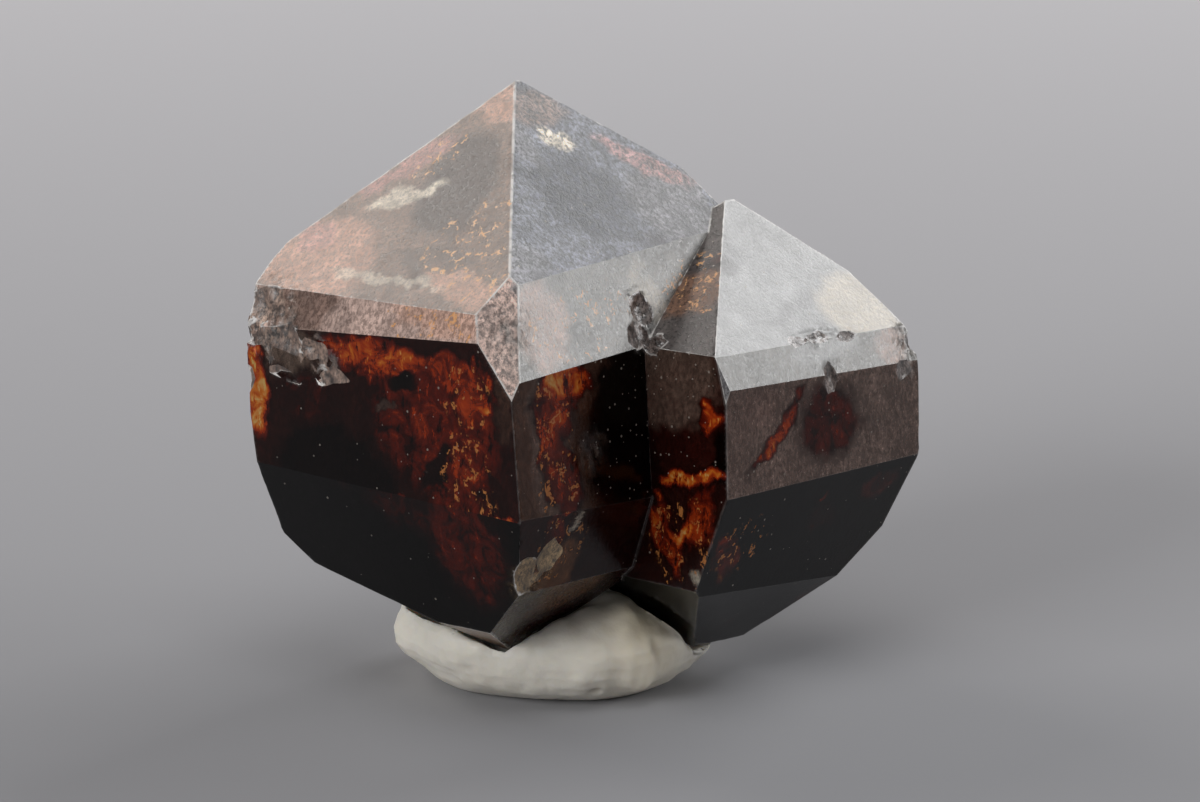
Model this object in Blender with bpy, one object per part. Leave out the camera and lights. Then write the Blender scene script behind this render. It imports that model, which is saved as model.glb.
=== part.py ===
"""Two zircon crystals grown together, standing on a lump of white mounting putty.

Both crystals share one set of axes. Each is the space inside its flat faces, and a face is given by
the corner of the square prism it belongs to, its slope and its distance from the crystal's middle.
"""
import math

import bmesh
import bpy
from mathutils import Matrix, Vector, noise

MM = 0.001

# Zircon is tetragonal, and the ratio of its axes sets the slopes of all its faces.
AXIS_RATIO = 0.905
BLUNT = math.degrees(math.atan(AXIS_RATIO))
STEEP = math.degrees(math.atan(3 * AXIS_RATIO))
PRISM = 90.0

# The way that each side of the square prism looks, in degrees round the long axis from the front.
FRONT_LEFT, FRONT_RIGHT, BACK_RIGHT, BACK_LEFT = -45.0, 45.0, 135.0, -135.0

# How the pair stands: leaning back, tipped a little to the left and turned, in degrees.
LEAN_BACK, TIP_LEFT, TURN = 6.3, 1.1, 2.7
CRYSTAL_MIDDLE = (-2.4, 1.3, 8.3)

# The small crystal's middle, from the large one's, along their shared axes, in mm.
SMALL_MIDDLE = (5.76, 0.56, -1.12)

# Side, slope in degrees, distance from the middle in mm. Most faces are a degree or two off the ideal.
LARGE_FACES = (
    (FRONT_LEFT, BLUNT - 1.4, 6.70),
    (FRONT_RIGHT - 2.0, BLUNT + 1.3, 6.52),
    (BACK_RIGHT + 1.0, BLUNT - 4.5, 8.40),
    (BACK_LEFT + 1.3, BLUNT + 2.8, 7.36),
    (FRONT_LEFT, STEEP, 6.70),
    (FRONT_RIGHT, STEEP - 0.4, 5.74),
    (BACK_RIGHT, STEEP, 7.00),
    (BACK_LEFT, STEEP + 11.0, 6.00),
    (FRONT_LEFT + 1.0, PRISM + 1.7, 5.95),
    (FRONT_RIGHT + 1.0, PRISM - 2.4, 5.34),
    (BACK_RIGHT, PRISM, 5.95),
    (BACK_LEFT, PRISM, 5.34),
    (BACK_LEFT, PRISM + 6.0, 5.30),
    (FRONT_LEFT, 180 - STEEP - 1.2, 6.14),
    (FRONT_RIGHT, 180 - STEEP, 5.86),
    (BACK_RIGHT, 180 - STEEP, 5.90),
    (BACK_LEFT, 180 - STEEP, 5.88),
    (FRONT_RIGHT, 180 - BLUNT + 1.2, 6.36),
    (BACK_RIGHT, 180 - BLUNT, 3.80),
    (BACK_LEFT, 180 - BLUNT + 1.0, 6.02),
)
# Breaks that belong to no crystal form: the rough front corner and two at the base.
LARGE_BREAKS = (
    (3.0, 61.0, 7.72),
    (FRONT_LEFT - 2.0, 153.0, 7.22),
    (-72.0, 153.5, 6.84),
)
SMALL_FACES = (
    (FRONT_LEFT + 3.0, BLUNT - 8.2, 5.40),
    (FRONT_RIGHT + 2.0, BLUNT + 0.7, 5.30),
    (BACK_RIGHT, BLUNT + 0.6, 6.00),
    (BACK_LEFT, BLUNT, 5.10),
    (FRONT_RIGHT + 0.8, STEEP, 5.14),
    (BACK_RIGHT, STEEP, 5.15),
    (BACK_LEFT, STEEP, 5.30),
    (FRONT_LEFT + 1.8, PRISM, 4.51),
    (FRONT_RIGHT, PRISM, 4.65),
    (BACK_RIGHT, PRISM, 4.51),
    (BACK_LEFT, PRISM, 4.65),
    (FRONT_RIGHT, 180 - STEEP + 3.0, 4.60),
    (BACK_RIGHT, 180 - STEEP - 5.0, 4.55),
    (BACK_LEFT, 180 - STEEP, 4.90),
    (FRONT_LEFT - 1.0, 180 - BLUNT - 1.8, 5.72),
    (FRONT_RIGHT - 3.0, 180 - BLUNT, 5.30),
    (BACK_RIGHT, 180 - BLUNT - 1.0, 4.91),
    (BACK_LEFT, 156.0, 5.35),
)
# One narrow facet at the small crystal's front corner.
SMALL_BREAKS = (
    (20.0, 77.0, 6.36),
)

# Chips and pits: middle and half sizes in mm along the crystals' axes, and a turn in degrees.
# The first eleven wear away the large crystal's left corner, and the rest are single chips.
CHIPS = (
    ((-8.15, -0.35, 4.70), (0.85, 0.60, 0.70), -45),
    ((-7.85, -1.10, 3.60), (1.20, 0.72, 0.75), -45),
    ((-7.20, -1.95, 2.50), (0.95, 0.68, 0.58), -45),
    ((-6.40, -2.72, 2.30), (0.80, 0.62, 0.48), -45),
    ((-8.20, -1.10, 2.58), (0.85, 0.72, 0.52), -45),
    ((-5.95, -3.20, 1.50), (1.15, 0.52, 0.52), -45),
    ((-8.40, -0.90, 1.15), (0.70, 0.60, 1.00), -45),
    ((-6.80, -2.52, 3.08), (0.95, 0.56, 0.40), -45),
    ((-7.15, -2.12, 1.50), (1.20, 0.56, 0.55), -45),
    ((-8.55, 0.10, 2.00), (0.60, 0.60, 0.60), -45),
    ((-8.30, 0.30, 3.60), (0.42, 0.70, 0.62), -45),
    ((0.22, -7.20, -4.15), (0.90, 0.78, 0.90), 15),
    ((0.85, -6.55, -3.45), (0.66, 0.55, 0.62), 45),
    ((-0.25, -7.20, -5.15), (0.80, 0.68, 0.70), -15),
    ((3.78, -3.30, 3.62), (0.55, 0.40, 0.80), 45),
    ((3.55, -3.75, 2.75), (0.50, 0.36, 0.50), 45),
    ((4.15, -3.60, 2.32), (0.70, 0.42, 0.36), 45),
    ((9.42, -2.52, 1.05), (0.34, 0.40, 0.56), 45),
    ((12.05, -0.35, 0.70), (0.62, 0.55, 0.62), 45),
    ((12.30, 0.60, 1.60), (0.50, 0.40, 0.50), 45),
    ((9.12, -2.22, 2.28), (0.66, 0.32, 0.24), 44),
    ((8.40, -2.95, 2.26), (0.46, 0.30, 0.22), 42),
    ((9.95, -1.42, 2.10), (0.50, 0.26, 0.22), 46),
    ((11.20, 1.45, 3.05), (0.60, 0.36, 0.30), 80),
)
CHIP_ROUGHNESS = 0.35

# The putty: a lump squashed to a flat underside, with a fold pushed up between the crystals.
PUTTY_MIDDLE = (-1.3, 0.6, 1.45)
PUTTY_HALF = (4.85, 3.9, 2.0)
FOLD_MIDDLE = (0.55, -1.2, 2.0)
FOLD_HALF = (1.3, 1.9, 1.55)
PUTTY_GAP = 0.2


def remove_everything():
    for thing in list(bpy.data.objects):
        bpy.data.objects.remove(thing)


def plain_material(name, colour, roughness, transmission=0.0, index=1.5):
    """A Principled material in one colour."""
    material = bpy.data.materials.new(name)
    material.use_nodes = True
    shader = material.node_tree.nodes["Principled BSDF"]
    shader.inputs["Base Color"].default_value = (*colour, 1.0)
    shader.inputs["Roughness"].default_value = roughness
    shader.inputs["Metallic"].default_value = 0.0
    shader.inputs["Transmission Weight"].default_value = transmission
    shader.inputs["IOR"].default_value = index
    return material


def face_normal(side, slope):
    """The way a face looks: its side is measured from the front, its slope from the level."""
    side, slope = math.radians(side), math.radians(slope)
    return Vector((math.sin(side) * math.sin(slope), -math.cos(side) * math.sin(slope), math.cos(slope)))


def crystal_form(name, faces, middle=(0.0, 0.0, 0.0), growth=0.0):
    """The closed solid inside the faces: a block that each face in turn cuts flat."""
    shape = bmesh.new()
    bmesh.ops.create_cube(shape, size=60 * MM)
    for side, slope, distance in faces:
        normal = face_normal(side, slope)
        cut = bmesh.ops.bisect_plane(
            shape,
            geom=shape.verts[:] + shape.edges[:] + shape.faces[:],
            dist=1e-7,
            plane_co=normal * (distance + growth) * MM,
            plane_no=normal,
            clear_outer=True,
        )
        rim = [part for part in cut["geom_cut"] if isinstance(part, bmesh.types.BMEdge)]
        if rim:
            bmesh.ops.edgeloop_fill(shape, edges=rim)
    bmesh.ops.remove_doubles(shape, verts=shape.verts[:], dist=1e-6)
    bmesh.ops.recalc_face_normals(shape, faces=shape.faces[:])
    bmesh.ops.translate(shape, verts=shape.verts[:], vec=Vector(middle) * MM)
    return object_from(name, shape)


def object_from(name, shape):
    mesh = bpy.data.meshes.new(name)
    shape.to_mesh(mesh)
    shape.free()
    thing = bpy.data.objects.new(name, mesh)
    bpy.context.scene.collection.objects.link(thing)
    return thing


def broken_lump(name, middle, half_sizes, turn, seed):
    """A faceted lump, whose surface leaves a conchoidal hollow where it cuts."""
    shape = bmesh.new()
    bmesh.ops.create_icosphere(shape, subdivisions=2, radius=1.0)
    for vert in shape.verts:
        vert.co *= 1.0 + CHIP_ROUGHNESS * noise.noise(vert.co * 1.7 + Vector((seed * 3.1, 0.0, 0.0)))
    size = Matrix.Diagonal((*(half * MM for half in half_sizes), 1.0))
    place = Matrix.Translation(Vector(middle) * MM) @ Matrix.Rotation(math.radians(turn), 4, "Z")
    bmesh.ops.transform(shape, matrix=place @ size, verts=shape.verts[:])
    return object_from(name, shape)


def combine(target, other, operation):
    """A Boolean between two solids; the second one is only a tool."""
    step = target.modifiers.new(other.name, "BOOLEAN")
    step.operation = operation
    step.solver = "EXACT"
    step.object = other
    other.hide_render = True
    other.display_type = "WIRE"


def zircon_crystal():
    """Both crystals and all their chips, in one solid on the crystals' own axes."""
    crystal = crystal_form("zircon_crystal", LARGE_FACES + LARGE_BREAKS)
    small = crystal_form("small_crystal_form", SMALL_FACES + SMALL_BREAKS, SMALL_MIDDLE)
    small.parent = crystal
    combine(crystal, small, "UNION")
    for number, (middle, half_sizes, turn) in enumerate(CHIPS):
        lump = broken_lump(f"chip_{number:02d}", middle, half_sizes, turn, number)
        lump.parent = crystal
        combine(crystal, lump, "DIFFERENCE")
    crystal.data.materials.append(plain_material("zircon", (0.22, 0.05, 0.025), 0.12, 0.9, 1.95))
    lean = Matrix.Rotation(-math.radians(LEAN_BACK), 4, "X")
    tip = Matrix.Rotation(-math.radians(TIP_LEFT), 4, "Y")
    turn = Matrix.Rotation(math.radians(TURN), 4, "Z")
    crystal.matrix_world = Matrix.Translation(Vector(CRYSTAL_MIDDLE) * MM) @ tip @ lean @ turn
    return crystal


def putty_lump(name, middle, half_sizes, seed):
    """A soft lump: a squashed ball with low swellings, flat where it meets the surface."""
    shape = bmesh.new()
    bmesh.ops.create_uvsphere(shape, u_segments=40, v_segments=20, radius=1.0)
    for vert in shape.verts:
        swelling = 0.10 * noise.noise(vert.co * 1.3 + Vector((0.0, seed * 2.3, 0.0)))
        place = [
            middle[axis] + half_sizes[axis] * vert.co[axis] * (1.0 + swelling) for axis in range(3)
        ]
        place[2] = max(place[2], 0.0)
        vert.co = Vector(place) * MM
    bmesh.ops.remove_doubles(shape, verts=shape.verts[:], dist=1e-6)
    bmesh.ops.dissolve_limit(shape, angle_limit=0.001, verts=shape.verts[:], edges=shape.edges[:])
    bmesh.ops.recalc_face_normals(shape, faces=shape.faces[:])
    return object_from(name, shape)


def putty(crystal):
    """The white lump, with a seat pressed into it for the crystals."""
    lump = putty_lump("putty", PUTTY_MIDDLE, PUTTY_HALF, 1)
    combine(lump, putty_lump("putty_fold", FOLD_MIDDLE, FOLD_HALF, 4), "UNION")
    for name, faces, middle in (
        ("seat_of_large", LARGE_FACES + LARGE_BREAKS, (0.0, 0.0, 0.0)),
        ("seat_of_small", SMALL_FACES + SMALL_BREAKS, SMALL_MIDDLE),
    ):
        seat = crystal_form(name, faces, middle, PUTTY_GAP)
        seat.parent = crystal
        combine(lump, seat, "DIFFERENCE")
    lump.data.materials.append(plain_material("white_putty", (0.80, 0.77, 0.70), 0.55))
    return lump


def centre_on_origin(things):
    """Slide everything sideways and down, so that the origin is under the middle of the underside."""
    bpy.context.view_layer.update()
    graph = bpy.context.evaluated_depsgraph_get()
    places = []
    for thing in things:
        solid = thing.evaluated_get(graph)
        places += [solid.matrix_world @ vert.co for vert in solid.data.vertices]
    low = [min(place[axis] for place in places) for axis in range(3)]
    high = [max(place[axis] for place in places) for axis in range(3)]
    for thing in things:
        thing.location -= Vector(((low[0] + high[0]) / 2, (low[1] + high[1]) / 2, low[2]))


remove_everything()
crystal = zircon_crystal()
centre_on_origin((crystal, putty(crystal)))
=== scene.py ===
"""The finish of two zircon crystals grown together, standing on white mounting putty."""
import math

import bmesh
import bpy
import numpy as np
from mathutils import Matrix, Vector


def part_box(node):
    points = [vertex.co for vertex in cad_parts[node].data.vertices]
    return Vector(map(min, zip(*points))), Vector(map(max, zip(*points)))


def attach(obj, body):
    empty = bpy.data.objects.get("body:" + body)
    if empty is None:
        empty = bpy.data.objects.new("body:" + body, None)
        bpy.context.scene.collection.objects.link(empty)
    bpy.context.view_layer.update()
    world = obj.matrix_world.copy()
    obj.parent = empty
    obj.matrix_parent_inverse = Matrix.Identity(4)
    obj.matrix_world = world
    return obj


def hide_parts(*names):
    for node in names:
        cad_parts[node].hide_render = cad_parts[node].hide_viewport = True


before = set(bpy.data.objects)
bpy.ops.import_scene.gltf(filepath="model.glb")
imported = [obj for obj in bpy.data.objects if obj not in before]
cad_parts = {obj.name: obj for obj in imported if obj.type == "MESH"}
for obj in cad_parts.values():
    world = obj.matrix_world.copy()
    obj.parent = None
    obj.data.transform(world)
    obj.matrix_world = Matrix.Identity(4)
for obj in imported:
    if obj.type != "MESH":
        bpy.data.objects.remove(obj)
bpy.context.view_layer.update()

# The camera looks at the front of the pair from 17 degrees above, through a long close-up lens.
# Its place is measured in mm from the large crystal's middle, which lies 9.507 mm under the top.
MM = 0.001
CAMERA_RISE = 17.0
CAMERA_FROM_MIDDLE = (2.511, -174.656, 53.502)
LENS_MM = 181.2
SENSOR_MM = 36.0
NEAREST_SEEN = 0.01
LIGHT_BOUNCES, GLASS_BOUNCES = 8, 6

crystals_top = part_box("zircon_crystal")[1][2]
LARGE_MIDDLE = np.array([-2.066 * MM, -0.111 * MM, crystals_top - 9.507 * MM])
camera = bpy.data.objects.new("camera", bpy.data.cameras.new("camera"))
bpy.context.scene.collection.objects.link(camera)
bpy.context.scene.camera = camera
camera.location = Vector(LARGE_MIDDLE) + Vector(CAMERA_FROM_MIDDLE) * MM
camera.rotation_euler = (math.radians(90 - CAMERA_RISE), 0.0, 0.0)
camera.data.sensor_width = SENSOR_MM
camera.data.lens = LENS_MM
camera.data.clip_start = NEAREST_SEEN
bpy.context.scene.view_settings.view_transform = "Standard"
bpy.context.scene.cycles.max_bounces = LIGHT_BOUNCES
bpy.context.scene.cycles.transmission_bounces = GLASS_BOUNCES
bpy.context.scene.cycles.volume_bounces = 0


# The floor is a grey sheet, painted darker in front and paler toward the back, and curves up far behind
# the specimen.
# Nothing else is in the room. Its places are in metres along Y and Z.
FLOOR_FRONT, FLOOR_BEND, BEND_RADIUS, WALL_TOP = -1.2, 0.5, 0.4, 1.6
FLOOR_HALF_WIDTH = 1.6
# The floor's grey is painted shade: dark under and in front of the specimen, fading to pale behind it.
FADE_FROM, FADE_TO = -0.010, 0.110
NEAR_GREY, FAR_GREY = (0.33, 0.33, 0.345, 1.0), (0.66, 0.65, 0.67, 1.0)
FLOOR_ROUGHNESS = 0.85


def sweep_sheet(name, outline, half_width, steps):
    """A sheet that carries an outline in Y and Z sideways along X."""
    across = np.linspace(-half_width, half_width, steps)
    outline = np.array(outline)
    grid = np.empty((steps, len(outline), 3))
    grid[:, :, 0] = across[:, None]
    grid[:, :, 1:] = outline[None, :, :]
    corner = np.arange(steps * len(outline)).reshape(steps, len(outline))
    quads = np.stack((corner[:-1, :-1], corner[1:, :-1], corner[1:, 1:], corner[:-1, 1:]), -1)
    mesh = bpy.data.meshes.new(name)
    mesh.from_pydata(grid.reshape(-1, 3).tolist(), [], quads.reshape(-1, 4).tolist())
    sheet = bpy.data.objects.new(name, mesh)
    bpy.context.scene.collection.objects.link(sheet)
    mesh.shade_smooth()
    return sheet


floor_outline = [(FLOOR_FRONT, 0.0), (FLOOR_BEND, 0.0)]
floor_outline += [
    (FLOOR_BEND + BEND_RADIUS * math.sin(turned), BEND_RADIUS - BEND_RADIUS * math.cos(turned))
    for turned in np.linspace(0.0, math.pi / 2, 12)[1:]
]
floor_outline += [(FLOOR_BEND + BEND_RADIUS, WALL_TOP)]
floor = sweep_sheet("floor", floor_outline, FLOOR_HALF_WIDTH, 9)
floor_finish = bpy.data.materials.new("pale_floor")
floor_finish.use_nodes = True
floor_shader = floor_finish.node_tree.nodes["Principled BSDF"]
floor_place = floor_finish.node_tree.nodes.new("ShaderNodeTexCoord")
floor_split = floor_finish.node_tree.nodes.new("ShaderNodeSeparateXYZ")
floor_fade = floor_finish.node_tree.nodes.new("ShaderNodeMapRange")
floor_fade.inputs["From Min"].default_value = FADE_FROM
floor_fade.inputs["From Max"].default_value = FADE_TO
floor_mix = floor_finish.node_tree.nodes.new("ShaderNodeMix")
floor_mix.data_type = "RGBA"
floor_mix.inputs[6].default_value = NEAR_GREY
floor_mix.inputs[7].default_value = FAR_GREY
floor_links = floor_finish.node_tree.links
floor_links.new(floor_place.outputs["Object"], floor_split.inputs["Vector"])
floor_links.new(floor_split.outputs["Y"], floor_fade.inputs["Value"])
floor_links.new(floor_fade.outputs["Result"], floor_mix.inputs[0])
floor_links.new(floor_mix.outputs[2], floor_shader.inputs["Base Color"])
floor_shader.inputs["Roughness"].default_value = FLOOR_ROUGHNESS
floor.data.materials.append(floor_finish)


# Soft studio light: a dim grey room and five large soft panels. The panel behind on the right is the
# one that the small crystal's top face mirrors.
ROOM_GREY, ROOM_STRENGTH = (0.80, 0.80, 0.84, 1.0), 0.11
WHITE, WARM_WHITE = (1.0, 1.0, 1.0), (1.0, 0.95, 0.9)
PANELS_AIM_AT = Vector((0.0, 0.0, 0.009))


def soft_panel(name, toward, distance, size, power, colour=WHITE):
    """A panel that faces the specimen from one way, with its distance and size in m, power in W."""
    light = bpy.data.lights.new(name, "AREA")
    light.shape = "RECTANGLE"
    light.size, light.size_y = size
    light.energy = power
    light.color = colour
    panel = bpy.data.objects.new(name, light)
    bpy.context.scene.collection.objects.link(panel)
    way = Vector(toward).normalized()
    panel.location = way * distance + PANELS_AIM_AT
    panel.rotation_euler = way.to_track_quat("Z", "Y").to_euler()


world = bpy.data.worlds.new("room")
bpy.context.scene.world = world
world.use_nodes = True
world.node_tree.nodes["Background"].inputs["Color"].default_value = ROOM_GREY
world.node_tree.nodes["Background"].inputs["Strength"].default_value = ROOM_STRENGTH
soft_panel("panel_back_right", (0.58, 0.60, 0.56), 0.50, (0.24, 0.22), 0.80)
soft_panel("panel_back_left", (-0.62, 0.55, 0.62), 0.50, (0.24, 0.22), 0.50, WARM_WHITE)
soft_panel("panel_right", (0.95, 0.14, 0.32), 0.55, (0.30, 0.14), 0.68)
soft_panel("panel_above", (0.05, -0.25, 1.0), 0.50, (0.30, 0.30), 0.55)
soft_panel("panel_front_left", (-0.75, -0.65, 0.42), 0.60, (0.30, 0.24), 1.7)


# The zircon: two crystals in one solid, glassy and deep red-brown, with frosted tips, worn edges and
# chips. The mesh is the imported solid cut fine: its flat faces stay flat, its broken places are
# smoothed and then get grain. Angles are in degrees, and sizes in mm unless MM is with them.
FINE_EDGE = 0.20 * MM
SAME_PLACE, SAME_PLANE = 0.002 * MM, 0.4
LEAN_BACK, TIP_LEFT, TURN = 6.3, 1.1, 2.7
SMALL_FROM_LARGE = np.array([5.76, 0.56, -1.12])
FACE_ALIKE, FACE_REACH = 0.97, 0.05
SMOOTH_ROUNDS, SHARP_FROM = 45, 11
LATTICE = 32
EDGE_WEAR, BROKEN_GRAIN, SKIN_GRAIN = 0.022, 0.13, 0.004

own_axes = (
    Matrix.Rotation(-math.radians(TIP_LEFT), 3, "Y")
    @ Matrix.Rotation(-math.radians(LEAN_BACK), 3, "X")
    @ Matrix.Rotation(math.radians(TURN), 3, "Z")
)
own_axes = np.array(own_axes)


def merged_copy(node):
    """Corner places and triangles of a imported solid, merged, with its flat faces made whole again."""
    shape = bmesh.new()
    shape.from_mesh(node.data)
    bmesh.ops.remove_doubles(shape, verts=shape.verts[:], dist=SAME_PLACE)
    bmesh.ops.dissolve_limit(
        shape, angle_limit=math.radians(SAME_PLANE), verts=shape.verts[:], edges=shape.edges[:]
    )
    bmesh.ops.triangulate(shape, faces=shape.faces[:])
    bmesh.ops.recalc_face_normals(shape, faces=shape.faces[:])
    shape.verts.index_update()
    places = np.array([vert.co[:] for vert in shape.verts])
    triangles = np.array([[vert.index for vert in face.verts] for face in shape.faces])
    shape.free()
    return places, triangles


def cut_fine(places, triangles, longest):
    """Halves each edge that is longer than the limit, again and again, so flat faces stay flat."""
    while True:
        ends = np.stack((triangles, np.roll(triangles, -1, axis=1)), axis=-1).reshape(-1, 2)
        key = ends.min(axis=1) * len(places) + ends.max(axis=1)
        edge_key, edge = np.unique(key, return_inverse=True)
        low, high = edge_key // len(places), edge_key % len(places)
        is_long = np.linalg.norm(places[low] - places[high], axis=1) > longest
        if not is_long.any():
            return places, triangles
        halfway = np.full(len(edge_key), -1)
        halfway[is_long] = len(places) + np.arange(is_long.sum())
        places = np.vstack((places, 0.5 * (places[low[is_long]] + places[high[is_long]])))
        halves = halfway[edge.reshape(-1)].reshape(-1, 3)
        count = (halves >= 0).sum(axis=1)
        kept = [triangles[count == 0]]
        a, b, c = triangles[count == 3].T
        p, q, r = halves[count == 3].T
        kept += [np.stack(t, axis=1) for t in ((a, p, r), (p, b, q), (r, q, c), (p, q, r))]
        one = count == 1
        row, first = np.arange(one.sum()), np.argmax(halves[one] >= 0, axis=1)
        a, b, c = (triangles[one][row, (first + k) % 3] for k in range(3))
        p = halves[one][row, first]
        kept += [np.stack(t, axis=1) for t in ((a, p, c), (p, b, c))]
        two = count == 2
        row, first = np.arange(two.sum()), np.argmax(halves[two] < 0, axis=1)
        c, a, b = (triangles[two][row, (first + k) % 3] for k in range(3))
        p, q = (halves[two][row, (first + k) % 3] for k in (1, 2))
        short = np.linalg.norm(places[a] - places[q], axis=1) < np.linalg.norm(
            places[p] - places[c], axis=1
        )
        kept += [
            np.stack((p, b, q), axis=1),
            np.stack((a, p, np.where(short, q, c)), axis=1),
            np.stack((np.where(short, a, p), q, c), axis=1),
        ]
        triangles = np.vstack(kept)


def lattice_noise(points, grain, seed):
    """Smooth noise from -1 to 1: random values on a cubic lattice, blended between its corners."""
    table = np.random.default_rng(seed).uniform(-1.0, 1.0, (LATTICE, LATTICE, LATTICE))
    spot = points / grain + 400.0
    cell = np.floor(spot).astype(int)
    part = spot - cell
    part = part * part * (3.0 - 2.0 * part)
    total = np.zeros(len(points))
    for corner in range(8):
        step = np.array([corner & 1, corner >> 1 & 1, corner >> 2 & 1])
        weight = np.prod(np.where(step, part, 1.0 - part), axis=1)
        index = (cell + step) % LATTICE
        total += weight * table[index[:, 0], index[:, 1], index[:, 2]]
    return total


def cloudy(points, grain, seed):
    """Three sizes of smooth noise on top of each other, each half as strong as the one before."""
    return (
        lattice_noise(points, grain, seed)
        + 0.5 * lattice_noise(points, grain / 2.1, seed + 1)
        + 0.25 * lattice_noise(points, grain / 4.3, seed + 2)
    ) / 1.75


def flat_normals(places, triangles):
    """Each triangle's own normal."""
    a, b, c = (places[triangles[:, k]] for k in range(3))
    normal = np.cross(b - a, c - a)
    return normal / np.maximum(np.linalg.norm(normal, axis=1, keepdims=True), 1e-20)


def corner_normals(places, triangles):
    """Each mesh point's normal, averaged over its triangles, and how sharply they differ, 0 to 1."""
    normal = np.repeat(flat_normals(places, triangles), 3, axis=0)
    count = np.bincount(triangles.ravel(), minlength=len(places))
    total = np.stack([
        np.bincount(triangles.ravel(), normal[:, k], len(places)) for k in range(3)
    ], axis=1)
    length = np.linalg.norm(total, axis=1)
    return total / np.maximum(length, 1e-12)[:, None], 1.0 - length / np.maximum(count, 1.0)


def to_own_axes(places):
    """Places in metres to millimetres from the large crystal's middle, along the crystals' axes."""
    return (places - LARGE_MIDDLE) / MM @ own_axes


zircon_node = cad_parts["zircon_crystal"]
places, triangles = cut_fine(*merged_copy(zircon_node), FINE_EDGE)

# Faces that the finish tells apart: crystal, side, slope and distance from that crystal's middle.
LARGE, SMALL = np.zeros(3), SMALL_FROM_LARGE
FACES = {
    "large_top_left": (LARGE, -45.0, 40.7, 6.70),
    "large_top_right": (LARGE, 43.0, 43.4, 6.52),
    "large_band_left": (LARGE, -45.0, 69.8, 6.70),
    "large_band_right": (LARGE, 45.0, 69.4, 5.74),
    "large_corner": (LARGE, 3.0, 61.0, 7.72),
    "large_side_left": (LARGE, -44.0, 91.7, 5.95),
    "large_side_right": (LARGE, 46.0, 87.6, 5.34),
    "large_lower_left": (LARGE, -45.0, 109.0, 6.14),
    "large_lower_right": (LARGE, 45.0, 110.2, 5.86),
    "large_under_left": (LARGE, -47.0, 153.0, 7.22),
    "large_under_right": (LARGE, 45.0, 139.0, 6.36),
    "small_top_left": (SMALL, -42.0, 34.0, 5.40),
    "small_top_right": (SMALL, 47.0, 42.9, 5.30),
    "small_band_right": (SMALL, 45.8, 69.8, 5.14),
    "small_corner": (SMALL, 20.0, 77.0, 6.36),
    "small_side_left": (SMALL, -43.2, 90.0, 4.51),
    "small_side_right": (SMALL, 45.0, 90.0, 4.65),
    "small_lower_right": (SMALL, 45.0, 113.2, 4.60),
    "small_under_right": (SMALL, 42.0, 137.9, 5.30),
    "small_under_left": (SMALL, -46.0, 136.1, 5.72),
    "large_back_top_right": (LARGE, 136.0, 37.7, 8.40),
    "large_back_top_left": (LARGE, -133.7, 45.0, 7.36),
    "large_back_band_right": (LARGE, 135.0, 69.8, 7.00),
    "large_back_band_left": (LARGE, -135.0, 80.8, 6.00),
    "large_back_side_right": (LARGE, 135.0, 90.0, 5.95),
    "large_back_side_left": (LARGE, -135.0, 90.0, 5.34),
    "large_back_side_left_low": (LARGE, -135.0, 96.0, 5.30),
    "large_back_lower_right": (LARGE, 135.0, 110.2, 5.90),
    "large_back_lower_left": (LARGE, -135.0, 110.2, 5.88),
    "large_back_under_right": (LARGE, 135.0, 137.9, 3.80),
    "large_back_under_left": (LARGE, -135.0, 138.9, 6.02),
    "large_under_edge": (LARGE, -72.0, 153.5, 6.84),
    "small_back_top_right": (SMALL, 135.0, 42.7, 6.00),
    "small_back_top_left": (SMALL, -135.0, 42.1, 5.10),
    "small_back_band_right": (SMALL, 135.0, 69.8, 5.15),
    "small_back_band_left": (SMALL, -135.0, 69.8, 5.30),
    "small_back_side_right": (SMALL, 135.0, 90.0, 4.51),
    "small_back_side_left": (SMALL, -135.0, 90.0, 4.65),
    "small_back_lower_right": (SMALL, 135.0, 105.2, 4.55),
    "small_back_lower_left": (SMALL, -135.0, 110.2, 4.90),
    "small_back_under_right": (SMALL, 135.0, 136.9, 4.91),
    "small_back_under_left": (SMALL, -135.0, 156.0, 5.35),
}


def face_axes(side, slope):
    """A face's normal and the ways across it and up it, as seen from outside."""
    side, slope = math.radians(side), math.radians(slope)
    outward = math.sin(slope)
    normal = np.array([math.sin(side) * outward, -math.cos(side) * outward, math.cos(slope)])
    across = np.array([math.cos(side), math.sin(side), 0.0])
    return normal, across, np.cross(normal, across)


# Rough ground: middle and reach on the crystals' axes, depth and size of grain.
ROUGH_GROUND = (
    ((-7.6, -1.2, 3.0), (1.6, 1.6, 1.9), 0.16, 0.42),
    ((-6.2, -2.6, 2.2), (1.4, 1.4, 0.9), 0.12, 0.34),
    ((-0.2, -7.0, 3.3), (0.8, 1.2, 1.3), 0.10, 0.28),
    ((0.3, -6.9, -4.2), (1.1, 1.2, 1.0), 0.12, 0.36),
    ((3.7, -3.4, 3.2), (0.8, 0.8, 1.2), 0.09, 0.30),
    ((9.2, -2.2, 2.2), (1.5, 1.2, 0.35), 0.06, 0.22),
    ((9.5, -2.4, 1.1), (0.5, 0.6, 0.6), 0.07, 0.24),
    ((11.9, 0.2, 1.4), (0.8, 0.9, 1.3), 0.10, 0.30),
    ((2.0, -5.7, -0.4), (0.9, 0.9, 0.8), 0.07, 0.34),
)
own = to_own_axes(places)
triangle_own_normals = flat_normals(places, triangles) @ own_axes
face_of = np.full(len(triangles), -1)
best_match = np.full(len(triangles), FACE_ALIKE)
for index, (middle, side, slope, distance) in enumerate(FACES.values()):
    normal = face_axes(side, slope)[0]
    near = np.abs((own[triangles] - middle) @ normal - distance).max(axis=1) < FACE_REACH
    match = np.where(near, triangle_own_normals @ normal, 0.0)
    better = match > best_match
    face_of[better], best_match[better] = index, match[better]

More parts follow.
